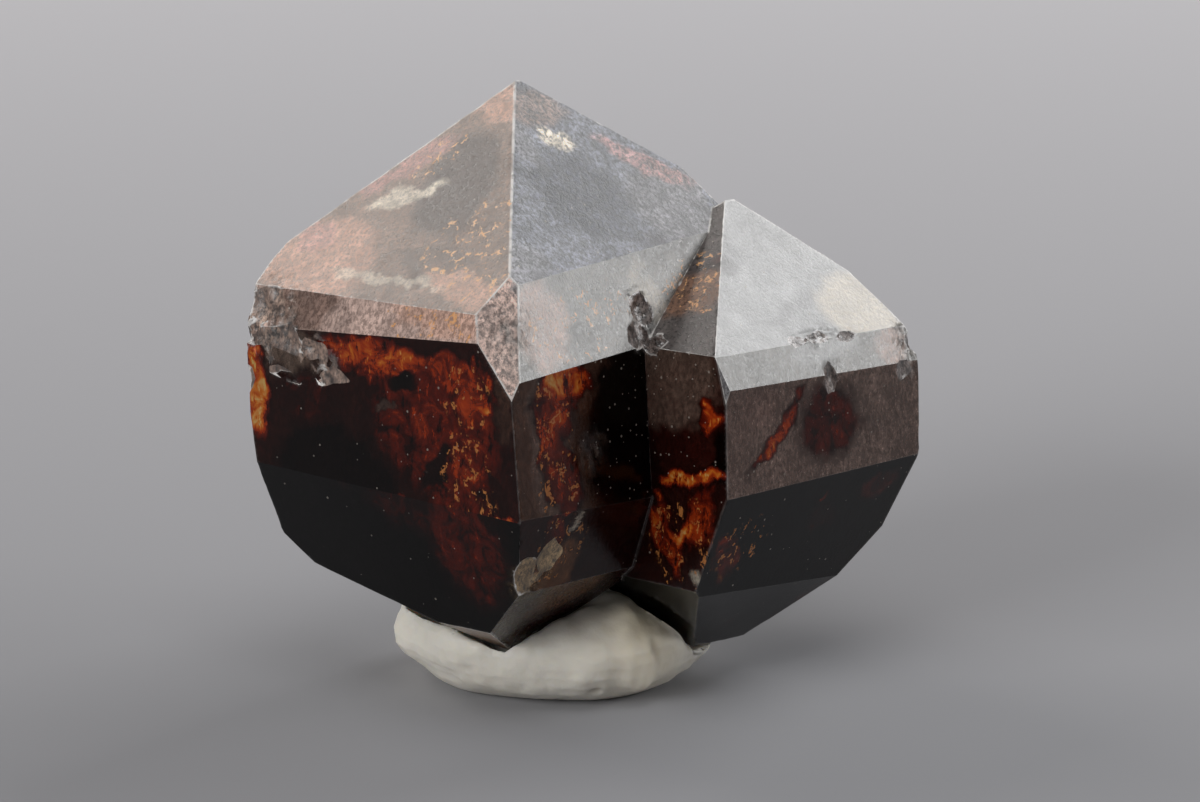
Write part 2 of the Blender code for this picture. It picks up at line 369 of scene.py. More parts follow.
# The broken places are all that lies on no flat face. They are smoothed, then sunk by their grain.
held = np.zeros(len(places), bool)
held[triangles[face_of >= 0].ravel()] = True
soft = triangles[~held[triangles].all(axis=1)]
ends = np.vstack((soft[:, [0, 1]], soft[:, [1, 2]], soft[:, [2, 0]]))
ends = np.vstack((ends, ends[:, ::-1]))
count = np.maximum(np.bincount(ends[:, 0], minlength=len(places)), 1.0)[:, None]
for _ in range(SMOOTH_ROUNDS):
    total = np.stack([
        np.bincount(ends[:, 0], places[ends[:, 1], k], len(places)) for k in range(3)
    ], axis=1)
    places = np.where(held[:, None], places, 0.4 * places + 0.6 * total / count)
zircon_mesh = bpy.data.meshes.new("zircon")
zircon_mesh.from_pydata(places.tolist(), [], triangles.tolist())
zircon_mesh.shade_smooth()
zircon_mesh.set_sharp_from_angle(angle=math.radians(SHARP_FROM))
own = to_own_axes(places)
normals, edge_sharpness = corner_normals(places, triangles)
patchy_wear = np.clip(0.2 + 1.6 * cloudy(own, 0.8, 3), 0.0, 1.0)
sink = EDGE_WEAR * np.clip(edge_sharpness * 6.0, 0.0, 1.0) * patchy_wear
sink_rough = np.zeros(len(own))
for middle, reach, depth, grain in ROUGH_GROUND:
    distance = np.linalg.norm((own - np.array(middle)) / np.array(reach), axis=1)
    inside = np.clip(1.5 * (1.0 - distance), 0.0, 1.0)
    bite = np.abs(cloudy(own, grain, 11)) * 1.6
    sink_rough += depth * inside * np.clip(bite, 0.0, 1.0)
open_ground = (~held).astype(float)
for _ in range(3):
    total = np.bincount(ends[:, 0], open_ground[ends[:, 1]], len(places))
    open_ground = np.where(held, 0.0, total / count[:, 0])
sink_rough += BROKEN_GRAIN * open_ground ** 2 * np.abs(cloudy(own, 0.30, 13))
sink += sink_rough
sink += SKIN_GRAIN * (1.0 + cloudy(own, 1.6, 5))
places = places - normals * sink[:, None] * MM

# The paint's colours. BODY is the ground of all that lies on no named face.
BODY = (0.045, 0.010, 0.005)
# Much of this paint is painted light. Silver, the greys, blue-grey and haze on the tops, bands and
# sides are painted reflection of the room. Red, ember, amber and gold are painted light shining through
# the crystal. Black on the lower faces and in the dark parts of the sides is painted shade. Beige and
# pink on the tops are the frosted skin's own colour, with painted light scattered just under it.
PALETTE = {
    "black": (0.0015, 0.0008, 0.0006),
    "dark_red": (0.030, 0.006, 0.004),
    "brown": (0.110, 0.055, 0.036),
    "red": (0.22, 0.035, 0.015),
    "ember": (0.62, 0.13, 0.025),
    "amber": (0.90, 0.36, 0.07),
    "gold": (0.95, 0.55, 0.14),
    "beige": (0.24, 0.165, 0.13),
    "pink": (0.58, 0.34, 0.25),
    "grey": (0.20, 0.19, 0.195),
    "dark_grey": (0.10, 0.095, 0.10),
    "silver": (0.42, 0.42, 0.415),
    "mid_grey": (0.20, 0.19, 0.175),
    "blue_grey": (0.175, 0.180, 0.210),
    "grey_brown": (0.075, 0.062, 0.058),
    "pink_brown": (0.55, 0.39, 0.33),
    "dusty_brown": (0.24, 0.17, 0.13),
    "near_black": (0.018, 0.018, 0.026),
    "haze": (0.27, 0.185, 0.155),
    "rose": (0.50, 0.27, 0.24),
    "cream": (0.68, 0.60, 0.48),
    "rust": (0.30, 0.13, 0.06),
    "green_grey": (0.05, 0.055, 0.045),
    "worn": (0.21, 0.145, 0.11),
    "worn_pale": (0.34, 0.31, 0.28),
    "worn_gold": (0.38, 0.26, 0.13),
}
# Each face: its ground colour, its frost and then its marks. A mark is a colour, a middle and a reach
# across and up the face, a turn and a strength. Veins and dust are zones that the material fills.
# The grounds and marks carry that painted light: painted reflection on the tops, bands and sides,
# painted glow of light through the crystal, and painted shade in black on the lower faces.
MARKS = {
    "large_top_left": ("beige", 0.55, (
        ("grey_brown", (-0.2, 2.9), (1.4, 2.2), 18, 0.85),
        ("pink", (-3.6, -0.6), (2.2, 1.6), 0, 0.8),
        ("pink", (-0.6, 6.2), (0.9, 0.7), 0, 0.8),
        ("rose", (-2.6, 3.4), (0.4, 1.8), -42, 0.7),
        ("cream", (-1.9, 2.3), (1.3, 0.28), 25, 0.8),
        ("rose", (-4.6, 0.6), (1.6, 0.5), -35, 0.6),
        ("cream", (0.0, -0.9), (2.6, 0.18), -3, 0.6),
        ("pink", (3.0, -0.9), (2.0, 0.5), -8, 0.7),
        ("vein", (2.0, 1.1), (1.9, 1.3), 35, 1.0),
        ("vein", (-1.4, 3.9), (1.2, 0.5), 45, 0.7),
        ("vein", (3.2, -0.6), (1.2, 0.7), 0, 0.8),
        ("grey_brown", (0.9, 0.1), (1.8, 0.5), 0, 0.5),
    )),
    "large_band_left": ("pink_brown", 0.4, (
        ("pink", (2.6, 1.5), (2.0, 0.6), 0, 0.7),
        ("vein", (2.2, 1.2), (2.0, 0.7), 0, 0.9),
        ("brown", (-3.2, 1.4), (1.4, 0.9), 0, 0.8),
    )),
    "large_corner": ("pink_brown", 0.6, (
        ("vein", (0.1, 2.2), (0.9, 0.9), 0, 0.9),
        ("grey", (0.1, 0.9), (0.5, 0.7), 0, 0.9),
        ("cream", (0.3, 3.0), (0.5, 0.3), 0, 0.7),
    )),
    "large_top_right": ("blue_grey", 0.72, (
        ("cream", (1.0, 4.8), (0.55, 0.30), -20, 0.9),
        ("beige", (0.9, 6.0), (1.0, 0.8), 0, 0.8),
        ("grey", (3.6, 1.6), (1.5, 1.7), 0, 0.75),
        ("rose", (3.6, 3.5), (1.7, 0.45), -42, 0.7),
        ("grey", (-3.4, 0.6), (0.9, 0.9), 0, 0.6),
        ("grey", (-0.4, 5.2), (0.4, 1.6), 0, 0.6),
        ("near_black", (0.6, 2.7), (1.9, 1.5), -30, 0.62),
    )),
    "large_band_right": ("mid_grey", 0.5, (
        ("pink_brown", (-4.0, 1.5), (1.2, 1.3), 0, 0.75),
        ("vein", (-2.4, 1.4), (2.2, 1.0), 10, 1.0),
        ("vein", (2.6, 1.6), (1.0, 1.2), 60, 0.8),
        ("cream", (0.8, 1.9), (0.6, 1.0), 15, 0.3),
        ("grey_brown", (3.2, 1.4), (1.0, 1.3), 0, 0.6),
    )),
    "large_side_left": ("dark_red", 0.12, (
        ("red", (2.4, 0.6), (2.9, 2.2), -15, 0.75),
        ("ember", (3.7, 0.2), (0.8, 1.0), 20, 0.6),
        ("red", (3.2, -1.8), (1.6, 2.0), 0, 0.65),
        ("red", (-2.9, 0.9), (1.3, 1.2), 10, 0.4),
        ("ember", (-0.3, 2.5), (2.6, 0.6), -3, 0.95),
        ("ember", (2.6, 2.4), (1.8, 0.5), -3, 0.75),
        ("ember", (3.6, 1.4), (0.7, 0.9), -20, 0.75),
        ("black", (1.1, 1.9), (0.5, 0.35), 0, 0.9),
        ("black", (-2.0, -1.4), (2.6, 1.7), -10, 0.9),
        ("vein", (3.5, -1.4), (1.1, 2.2), 10, 0.8),
        ("vein", (3.6, 1.6), (0.9, 1.0), 0, 0.7),
        ("dust", (2.0, 0.0), (2.4, 2.4), 0, 0.35),
        ("black", (2.2, -0.6), (0.35, 0.9), -30, 0.7),
        ("amber", (-5.1, 1.3), (0.5, 1.7), 0, 1.0),
        ("amber", (4.5, 2.2), (0.16, 0.45), 20, 0.9),
        ("amber", (4.2, 1.6), (0.10, 0.40), 20, 0.9),
        ("amber", (4.7, -2.1), (0.6, 0.25), 10, 0.8),
        ("amber", (0.7, -1.7), (0.2, 0.35), 20, 0.7),
        ("ember", (3.4, -0.4), (0.6, 0.5), 0, 0.7),
        ("beige", (0.3, 1.2), (0.3, 0.2), 0, 0.5),
        ("beige", (1.4, 0.0), (0.9, 0.10), 20, 0.25),
        ("beige", (1.6, -0.5), (0.6, 0.07), -25, 0.3),
        ("worn", (-3.6, 2.4), (1.1, 0.6), 0, 0.8),
        ("green_grey", (-3.3, 2.6), (0.35, 0.2), 0, 0.9),
        ("brown", (4.9, 1.6), (0.4, 1.3), 0, 0.6),
    )),
    "large_side_right": ("brown", 0.15, (
        ("haze", (-4.4, 0.2), (0.9, 2.8), 0, 0.5),
        ("vein", (-4.2, -0.2), (0.8, 2.8), 0, 0.8),
        ("black", (-0.7, 0.2), (2.1, 3.4), -14, 1.0),
        ("black", (-3.0, 2.4), (0.5, 0.4), 0, 0.8),
        ("amber", (-3.6, 1.7), (1.0, 0.55), -20, 0.95),
        ("ember", (-4.2, 0.8), (0.8, 1.4), 0, 0.7),
        ("ember", (-4.0, -1.2), (0.7, 1.4), 20, 0.6),
        ("amber", (-4.7, 0.2), (0.14, 0.8), -12, 0.9),
        ("ember", (-3.9, -1.4), (0.8, 0.3), 40, 0.6),
        ("grey", (-2.6, -0.4), (0.35, 0.2), 20, 0.25),
        ("dust", (-1.2, 0.2), (1.9, 3.0), 0, 0.9),
    )),
    "large_lower_left": ("black", 0.10, (
        ("red", (3.0, -1.0), (1.7, 2.2), 0, 0.6),
        ("amber", (4.6, 0.6), (0.8, 0.3), 10, 0.6),
        ("red", (0.6, 0.2), (1.4, 1.2), 0, 0.4),
    )),
    "large_lower_right": ("dark_red", 0.20, (
        ("ember", (-4.2, -0.9), (0.6, 1.2), 0, 0.55),
        ("vein", (-3.8, -1.2), (1.0, 1.3), 0, 0.8),
        ("rust", (-3.8, -1.9), (0.9, 0.9), 0, 0.7),
        ("amber", (-3.9, 0.2), (0.4, 0.25), 0, 0.9),
        ("cream", (-3.2, -0.4), (0.13, 0.36), -25, 0.8),
        ("dust", (-1.6, 0.4), (1.6, 1.6), 0, 0.5),
    )),
    "large_under_left": ("beige", 0.6, ()),
    "large_under_right": ("dark_red", 0.4, (("rust", (-2.4, 0.4), (1.2, 1.6), 0, 0.6),)),
    "small_top_left": ("grey_brown", 0.5, (
        ("rust", (1.5, 0.6), (1.4, 0.9), 30, 0.5),
        ("vein", (1.6, 1.0), (1.3, 1.3), 40, 1.0),
    )),
    "small_top_right": ("silver", 0.6, (
        ("cream", (2.9, -0.2), (1.6, 1.4), 0, 0.8),
        ("grey", (-1.5, 3.2), (1.2, 1.2), 0, 0.4),
        ("grey", (0.2, 0.4), (1.6, 0.25), 8, 0.5),
    )),
    "small_band_right": ("mid_grey", 0.5, (
        ("silver", (0.3, 1.3), (1.6, 0.45), 0, 0.7),
        ("pink_brown", (3.4, 1.0), (0.8, 0.6), 0, 0.7),
    )),
    "small_corner": ("grey", 0.4, ()),
    "small_side_left": ("dark_red", 0.12, (
        ("dusty_brown", (2.4, 2.6), (1.8, 1.6), 0, 0.5),
        ("ember", (4.0, 1.5), (0.45, 0.55), 30, 1.0),
        ("black", (4.6, 0.4), (0.45, 1.2), -30, 1.0),
        ("gold", (3.1, -0.3), (1.5, 0.24), 4, 1.0),
        ("ember", (2.1, -2.0), (0.38, 1.5), 18, 0.8),
        ("amber", (2.8, -2.2), (0.18, 0.5), -10, 1.0),
        ("red", (3.4, -1.7), (0.6, 1.1), -18, 0.9),
        ("vein", (2.8, -2.4), (1.1, 1.6), 0, 0.6),
        ("cream", (3.4, -3.4), (0.2, 0.3), 0, 0.8),
        ("black", (1.4, -0.4), (0.6, 1.3), 0, 0.6),
        ("dust", (2.6, 2.0), (2.4, 2.6), 0, 1.0),
    )),
    "small_side_right": ("haze", 0.25, (
        ("ember", (-2.0, 0.9), (1.7, 0.26), 45, 0.8),
        ("red", (0.3, 0.8), (1.5, 1.2), 0, 0.6),
        ("dust", (0.0, 0.0), (3.0, 2.0), 0, 0.3),
    )),
    "small_lower_right": ("black", 0.15, (
        ("ember", (-3.6, -1.0), (0.5, 1.0), 30, 0.5),
        ("vein", (-3.0, -0.8), (1.2, 1.0), 0, 0.6),
        ("red", (0.6, -0.4), (0.8, 0.5), 0, 0.35),
        ("amber", (0.4, 0.2), (0.3, 0.10), 10, 0.6),
        ("red", (3.0, 0.3), (0.9, 0.5), 0, 0.5),
        ("dust", (-2.0, -0.6), (2.0, 1.4), 0, 0.4),
    )),
    "small_under_right": ("black", 0.10, ()),
    "small_under_left": ("black", 0.10, ()),
    "large_back_top_right": ("dark_grey", 0.45, (
        ("beige", (-1.5, 2.5), (2.2, 1.6), 20, 0.7),
        ("grey", (1.5, 0.5), (2.5, 1.4), 0, 0.8),
        ("pink", (2.6, 3.6), (1.5, 0.6), 30, 0.6),
    )),
    "large_back_top_left": ("beige", 0.50, (
        ("grey", (-0.6, 2.6), (1.8, 1.8), 0, 0.9),
        ("pink", (2.2, 0.4), (2.0, 1.2), 0, 0.6),
    )),
    "small_back_top_right": ("silver", 0.55, (("grey", (-1.0, 2.0), (1.8, 1.4), 0, 0.6),)),
    "small_back_top_left": ("grey", 0.50, (("beige", (0.8, 1.0), (1.4, 1.0), 0, 0.5),)),
    "large_back_band_right": ("grey", 0.45, (("rust", (-2.0, 1.5), (2.0, 0.7), 0, 0.6),)),
    "large_back_band_left": ("pink_brown", 0.40, (
        ("grey", (1.0, 1.0), (2.4, 0.6), 0, 0.6),
        ("brown", (-2.6, 0.8), (1.2, 0.5), 0, 0.6),
    )),
    "small_back_band_right": ("grey", 0.45, ()),
    "small_back_band_left": ("grey", 0.45, ()),
    "large_back_side_right": ("dark_red", 0.14, (
        ("ember", (-2.0, 1.8), (2.4, 0.9), 10, 0.8),
        ("red", (1.4, 0.2), (2.4, 1.6), -20, 0.8),
        ("black", (2.0, -1.6), (2.0, 1.2), 0, 0.9),
        ("amber", (-3.8, -1.2), (0.5, 0.9), 0, 0.9),
    )),
    "large_back_side_left": ("dark_red", 0.14, (
        ("ember", (1.2, 2.2), (2.6, 0.7), -5, 0.8),
        ("red", (-1.5, 0.4), (2.6, 1.4), 15, 0.8),
        ("amber", (3.2, -0.6), (0.3, 1.2), 20, 0.8),
    )),
    "large_back_side_left_low": ("dark_red", 0.14, (("red", (0.5, -1.0), (2.5, 1.5), 0, 0.7),)),
    "small_back_side_right": ("dark_red", 0.14, (
        ("red", (0.4, 1.2), (1.8, 1.2), 0, 0.8),
        ("gold", (-0.6, -0.6), (1.4, 0.2), 12, 0.9),
        ("ember", (1.6, -2.2), (0.4, 1.0), 0, 0.8),
    )),
    "small_back_side_left": ("dark_red", 0.14, (("ember", (-0.6, 1.0), (1.2, 1.0), 0, 0.7),)),
}
# How strongly each face is etched, how brightly the warm colours glow as painted light shining through
# the crystal, and the odd frosted faces.
ETCH = {
    "large_top_right": 1.0, "large_band_right": 0.45, "large_corner": 0.7, "small_band_right": 0.4,
    "large_band_left": 0.4, "small_top_right": 0.25, "small_top_left": 0.5, "large_top_left": 0.45,
    "large_back_top_right": 0.8, "large_back_top_left": 0.5,
}
GLOW = {"red": 0.55, "ember": 0.80, "amber": 0.95, "gold": 1.0}
FROSTED_FACES = ("large_corner", "large_under_left", "small_corner")
FRONT_TIP = np.array([0.3, -6.9, -4.2])

own = to_own_axes(places)
corner_own = own[triangles].reshape(-1, 3)
corner_face = np.repeat(face_of, 3)
wander = np.stack([
    0.45 * cloudy(corner_own, 0.7, seed) + 0.16 * cloudy(corner_own, 0.22, seed + 4)
    for seed in (21, 31)
], axis=1)
mottle = cloudy(corner_own, 0.9, 51)
tint = np.array(BODY) * (1.0 + 0.5 * mottle)[:, None]
frost = np.full(len(corner_own), 0.25)
# A faint random glow everywhere: painted light shining through the crystal.
glow = np.clip(cloudy(corner_own, 1.6, 61) - 0.25, 0.0, 0.5)
# How near each corner is to a sharp edge, for the painted highlight along the edges.
corner_edge = np.sqrt(np.maximum(edge_sharpness[triangles].reshape(-1), 0.0))
corner_edge = np.clip(4.0 * corner_edge, 0.0, 1.0)
worn = np.clip(sink_rough[triangles].reshape(-1) * 14.0, 0.0, 1.0)
vein = np.zeros(len(corner_own))
etch = np.full(len(corner_own), 0.3)
dust = np.full(len(corner_own), 0.15)
frosted = face_of < 0
for index, (name, (middle, side, slope, distance)) in enumerate(FACES.items()):
    normal, across, up = face_axes(side, slope)
    from_middle = corner_own - middle
    here = corner_face == index
    ground, face_frost, marks = MARKS.get(name, ("black", 0.14, ()))
    tint[here] = np.array(PALETTE[ground]) * (1.0 + 0.35 * mottle[here])[:, None]
    frost[here] = face_frost
    etch[here] = ETCH.get(name, 0.35)
    glow[here] *= 0.6
    if name in FROSTED_FACES or "_top_" in name or "_band_" in name:
        frosted |= face_of == index
    on_face = np.stack((from_middle[here] @ across, from_middle[here] @ up), axis=1)
    on_face = on_face + wander[here]
    for colour, spot, reach, turn, strength in marks:
        cosine, sine = math.cos(math.radians(turn)), math.sin(math.radians(turn))
        offset = on_face - np.array(spot)
        along = (offset[:, 0] * cosine + offset[:, 1] * sine) / reach[0]
        beside = (-offset[:, 0] * sine + offset[:, 1] * cosine) / reach[1]
        sharp = 1.6 if colour in GLOW else 3.5
        cover = strength * np.clip(sharp * (1.0 + 0.5 / sharp - np.hypot(along, beside)), 0.0, 1.0)
        if colour in ("vein", "dust"):
            zone = vein if colour == "vein" else dust
            zone[here] = np.maximum(zone[here], cover)
            continue
        # Warm marks on the glassy faces go into the glow, which is painted light shining through the
        # crystal.
        if colour in GLOW and not ("_top_" in name or "_band_" in name or name == "large_corner"):
            glow[here] = np.maximum(glow[here], cover * GLOW[colour])
            continue
        glow[here] *= 1.0 - cover
        tint[here] += cover[:, None] * (np.array(PALETTE[colour]) - tint[here])
worn = np.where(corner_face < 0, np.maximum(worn, 0.75), worn)
etch = np.maximum(etch, worn)
upper_right = (corner_own[:, :1] > -1.0) & (corner_own[:, 2:] > 0.0)
worn_tint = np.where(upper_right, PALETTE["worn_pale"], PALETTE["worn"])
by_front_tip = np.linalg.norm(corner_own - FRONT_TIP, axis=1) < 1.6
worn_tint[by_front_tip] = PALETTE["worn_gold"]
blend_in = np.where((corner_own[:, 0] > 3.0) & (corner_own[:, 2] > 0.0), 0.45, 0.9)
tint += (worn * blend_in)[:, None] * (
    worn_tint * (1.0 + 0.9 * cloudy(corner_own, 0.35, 71))[:, None] - tint
)
frost = np.maximum(frost, blend_in * worn)
glow *= 1.0 - 0.8 * worn
frosted |= worn.reshape(-1, 3).mean(axis=1) > 0.5

zircon_mesh.vertices.foreach_set("co", places.ravel())
zircon_mesh.update()
zircon = bpy.data.objects.new("zircon", zircon_mesh)
bpy.context.scene.collection.objects.link(zircon)
none, full = np.zeros(len(corner_own)), np.ones(len(corner_own))
for name, values in (
    ("tint", np.column_stack((np.clip(tint, 0.0, 1.0), np.clip(frost, 0.0, 1.0)))),
    ("marks", np.column_stack((np.clip(glow, 0.0, 1.0), corner_edge, none, full))),
    ("detail", np.column_stack((vein, etch, dust, full))),
):
    layer = zircon_mesh.color_attributes.new(name, "FLOAT_COLOR", "CORNER")
    layer.data.foreach_set("color", values.ravel())


def node_of(nodes, kind, inputs=(), **settings):
    """A new shader node with its settings and input values."""
    node = nodes.new(kind)
    for name, value in settings.items():
        setattr(node, name, value)
    for name, value in inputs:
        node.inputs[name].default_value = value
    return node


# Linear colours for the painted glow of light through the crystal from black to gold, the painted
# highlight on the sharp edges, the veins and their painted glint, and the dust.
ZIRCON_IOR = 1.95
ABSORB_COLOUR, ABSORB_DENSITY = (0.72, 0.22, 0.05, 1.0), 600.0
GLOW_STOPS = (
    (0.0, (0.0020, 0.0010, 0.0008)), (0.16, (0.022, 0.0030, 0.0020)), (0.34, (0.17, 0.014, 0.005)),
    (0.55, (0.60, 0.065, 0.010)), (0.75, (0.95, 0.26, 0.030)), (1.0, (1.0, 0.62, 0.20)),
)
EDGE_HIGHLIGHT = (0.80, 0.77, 0.74, 1.0)
VEIN_GLINT_ORANGE, VEIN_GLINT_CREAM = (0.80, 0.26, 0.05, 1.0), (0.90, 0.66, 0.36, 1.0)
DUST_TAN, DUST_PER_METRE = (0.60, 0.54, 0.47, 1.0), 5200.0
ETCH_HEIGHT = 0.05 * MM


def zircon_material(name, transmission, specular, gloss):
    """The crystal's finish: tint and frost from its own layers, with painted glow, a painted edge
    highlight, flecks, etching and dust.
    """
    material = bpy.data.materials.new(name)
    material.use_nodes = True
    nodes, links = material.node_tree.nodes, material.node_tree.links
    shader = nodes["Principled BSDF"]
    shader.inputs["IOR"].default_value = ZIRCON_IOR
    shader.inputs["Transmission Weight"].default_value = transmission
    shader.inputs["Specular IOR Level"].default_value = specular
    shader.inputs["Specular Tint"].default_value = (*[gloss] * 3, 1.0)
    absorb = node_of(nodes, "ShaderNodeVolumeAbsorption")
    absorb.inputs["Color"].default_value = ABSORB_COLOUR
    absorb.inputs["Density"].default_value = ABSORB_DENSITY
    links.new(absorb.outputs["Volume"], nodes["Material Output"].inputs["Volume"])

    def math_node(operation, first, second=None, clamp=False):
        node = node_of(nodes, "ShaderNodeMath", operation=operation, use_clamp=clamp)
        for slot, value in enumerate((first, second)):
            if value is None:
                continue
            if isinstance(value, (int, float)):
                node.inputs[slot].default_value = value
            else:
                links.new(value, node.inputs[slot])
        return node.outputs[0]

    def spread(value, low, high, to_low=0.0, to_high=1.0):
        node = node_of(nodes, "ShaderNodeMapRange", (
            ("From Min", low), ("From Max", high), ("To Min", to_low), ("To Max", to_high),
        ))
        links.new(value, node.inputs["Value"])
        return node.outputs["Result"]

    def blend(factor, first, second):
        node = node_of(nodes, "ShaderNodeMix", data_type="RGBA")
        for slot, value in ((0, factor), (6, first), (7, second)):
            if isinstance(value, (int, float, tuple)):
                node.inputs[slot].default_value = value
            else:
                links.new(value, node.inputs[slot])
        return node.outputs[2]

    place = node_of(nodes, "ShaderNodeTexCoord").outputs["Object"]

    def noise(scale, detail, turn=(0.0, 0.0, 0.0), distortion=0.0, rough=0.6):
        """Cloud noise with its grains per millimetre along each way, on the crystal's own place."""
        mapping = node_of(nodes, "ShaderNodeMapping", vector_type="POINT")
        mapping.inputs["Scale"].default_value = [1000.0 * s for s in scale]
        mapping.inputs["Rotation"].default_value = [math.radians(t) for t in turn]
        links.new(place, mapping.inputs["Vector"])
        node = node_of(nodes, "ShaderNodeTexNoise", (
            ("Scale", 1.0), ("Detail", detail), ("Roughness", rough), ("Distortion", distortion),
        ))
        links.new(mapping.outputs["Vector"], node.inputs["Vector"])
        return node.outputs["Fac"]

    tint_layer = node_of(nodes, "ShaderNodeAttribute", attribute_name="tint")
    marks_layer = node_of(nodes, "ShaderNodeAttribute", attribute_name="marks")
    marks_split = node_of(nodes, "ShaderNodeSeparateColor")
    links.new(marks_layer.outputs["Color"], marks_split.inputs["Color"])
    glow_level, edge_highlight_level = marks_split.outputs["Red"], marks_split.outputs["Green"]
    frost_level = tint_layer.outputs["Alpha"]
    detail_layer = node_of(nodes, "ShaderNodeAttribute", attribute_name="detail")
    detail_split = node_of(nodes, "ShaderNodeSeparateColor")
    links.new(detail_layer.outputs["Color"], detail_split.inputs["Color"])
    vein_level, etch_level = detail_split.outputs["Red"], detail_split.outputs["Green"]
    dust_level = detail_split.outputs["Blue"]

    etch = noise((7.5, 7.5, 4.6), 3.0, (0.0, 35.0, 20.0), rough=0.8)
    patches = noise((1.3, 1.3, 1.3), 3.0, distortion=0.9, rough=0.68)
    flecks = noise((4.6, 4.6, 1.7), 3.0, (18.0, 12.0, 0.0), rough=0.7)
    winding = noise((1.2, 1.2, 1.7), 3.0, (30.0, 10.0, 0.0), rough=0.6)

    etched = spread(etch, 0.40, 0.62, 0.12, 2.3)
    patchy = spread(patches, 0.34, 0.66, 0.50, 1.45)
    grain = math_node("MULTIPLY", etched, patchy)
    plain = node_of(nodes, "ShaderNodeMix", data_type="FLOAT")
    plain.inputs["A"].default_value = 1.0
    links.new(etch_level, plain.inputs["Factor"])
    links.new(grain, plain.inputs["B"])
    grained = node_of(nodes, "ShaderNodeVectorMath", operation="SCALE")
    links.new(tint_layer.outputs["Color"], grained.inputs["Vector"])
    links.new(plain.outputs["Result"], grained.inputs["Scale"])

    # The glow is painted light shining through the crystal; the ramp turns its level into colour from
    # black to gold.
    painted_glow = math_node("MULTIPLY", glow_level, spread(patches, 0.36, 0.66, 0.45, 1.05))
    bright_flecks = math_node("MULTIPLY", glow_level, spread(flecks, 0.60, 0.68, 0.0, 0.45))
    dark_flecks = math_node("MULTIPLY", glow_level, spread(flecks, 0.42, 0.34, 0.0, 0.35))
    painted_glow = math_node("ADD", painted_glow, bright_flecks)
    painted_glow = math_node("SUBTRACT", painted_glow, dark_flecks)
    ramp = node_of(nodes, "ShaderNodeValToRGB")
    while len(ramp.color_ramp.elements) < len(GLOW_STOPS):
        ramp.color_ramp.elements.new(0.5)
    for element, (position, colour) in zip(ramp.color_ramp.elements, GLOW_STOPS):
        element.position = position
        element.color = (*colour, 1.0)
    links.new(painted_glow, ramp.inputs["Fac"])
    base = blend(spread(glow_level, 0.04, 0.30), grained.outputs["Vector"], ramp.outputs["Color"])

    # A painted highlight along the sharp edges, whiter where the face is frosted.
    ridge = spread(edge_highlight_level, 0.40, 0.75)
    ridge = math_node("MULTIPLY", ridge, spread(patches, 0.40, 0.55, 0.35, 1.0))
    ridge = math_node("MULTIPLY", ridge, spread(frost_level, 0.1, 0.5, 0.12, 1.0))
    base = blend(ridge, base, EDGE_HIGHLIGHT)

    # The veins are real cracks inside the crystal, painted bright orange and cream as a painted glint
    # of the light they catch.
    line = math_node("ABSOLUTE", math_node("SUBTRACT", winding, 0.5))
    line = spread(line, 0.018, 0.036, 1.0, 0.0)
    line = math_node("MULTIPLY", line, spread(flecks, 0.52, 0.57))
    line = math_node("MULTIPLY", line, spread(vein_level, 0.15, 0.5))
    gold = blend(frost_level, VEIN_GLINT_ORANGE, VEIN_GLINT_CREAM)
    base = blend(line, base, gold)

    cells = node_of(nodes, "ShaderNodeTexVoronoi", (("Scale", DUST_PER_METRE),), feature="F1")
    links.new(place, cells.inputs["Vector"])
    pick = node_of(nodes, "ShaderNodeSeparateColor")
    links.new(cells.outputs["Color"], pick.inputs["Color"])
    speck_size = spread(pick.outputs["Green"], 0.0, 1.0, 0.05, 0.20)
    speck = math_node("LESS_THAN", cells.outputs["Distance"], speck_size)
    dust_limit = spread(dust_level, 0.0, 1.0, 1.0, 0.35)
    dusty = math_node("GREATER_THAN", pick.outputs["Red"], dust_limit)
    dust = math_node("MULTIPLY", speck, dusty)
    base = blend(math_node("MULTIPLY", dust, 0.75), base, DUST_TAN)
    links.new(base, shader.inputs["Base Color"])

    rough = spread(frost_level, 0.0, 1.0, 0.05, 0.56)
    rough = math_node("ADD", rough, spread(etch, 0.35, 0.65, -0.06, 0.10), clamp=True)
    links.new(rough, shader.inputs["Roughness"])

    height = math_node("MULTIPLY", etch, frost_level)
    height = math_node("ADD", height, math_node("MULTIPLY", dust, 0.5))
    bump = node_of(nodes, "ShaderNodeBump", (("Strength", 0.6), ("Distance", ETCH_HEIGHT)))
    links.new(height, bump.inputs["Height"])
    links.new(bump.outputs["Normal"], shader.inputs["Normal"])
    return material


zircon_mesh.materials.append(zircon_material("zircon_glassy", 0.55, 0.12, 0.20))
zircon_mesh.materials.append(zircon_material("zircon_frosted", 0.10, 0.50, 1.0))
zircon_mesh.polygons.foreach_set("material_index", frosted.astype(np.int32))
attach(zircon, "root")
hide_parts("zircon_crystal")


# The putty: a soft warm-white lump pressed flat underneath. It was pinched up between the crystals, and
# the pinching left a fold in front, low lumps and a few thin creases.
PUTTY_EDGE = 0.16 * MM
FOLD_TOP, FOLD_REACH = np.array([1.7, -3.4, 2.4]), (1.3, 1.6, 1.8)
RIDGE_FOOT = np.array([1.9, -4.5, 0.2])
RIDGE_TOP = np.array([1.2, -3.4, 2.2])
RIDGE_HEIGHT, RIDGE_WIDTH = 0.26, 0.42
LOWEST, HIGHEST = -0.45, 0.17
SPECK, SPECK_REACH = np.array([0.9, -4.3, 1.5]), 0.22
PUTTY_WHITE, PUTTY_SHADE = (0.86, 0.82, 0.73, 1.0), (0.76, 0.71, 0.60, 1.0)
PUTTY_YELLOW, PUTTY_CREASE_DARK = (0.80, 0.68, 0.46, 1.0), (0.42, 0.35, 0.26, 1.0)
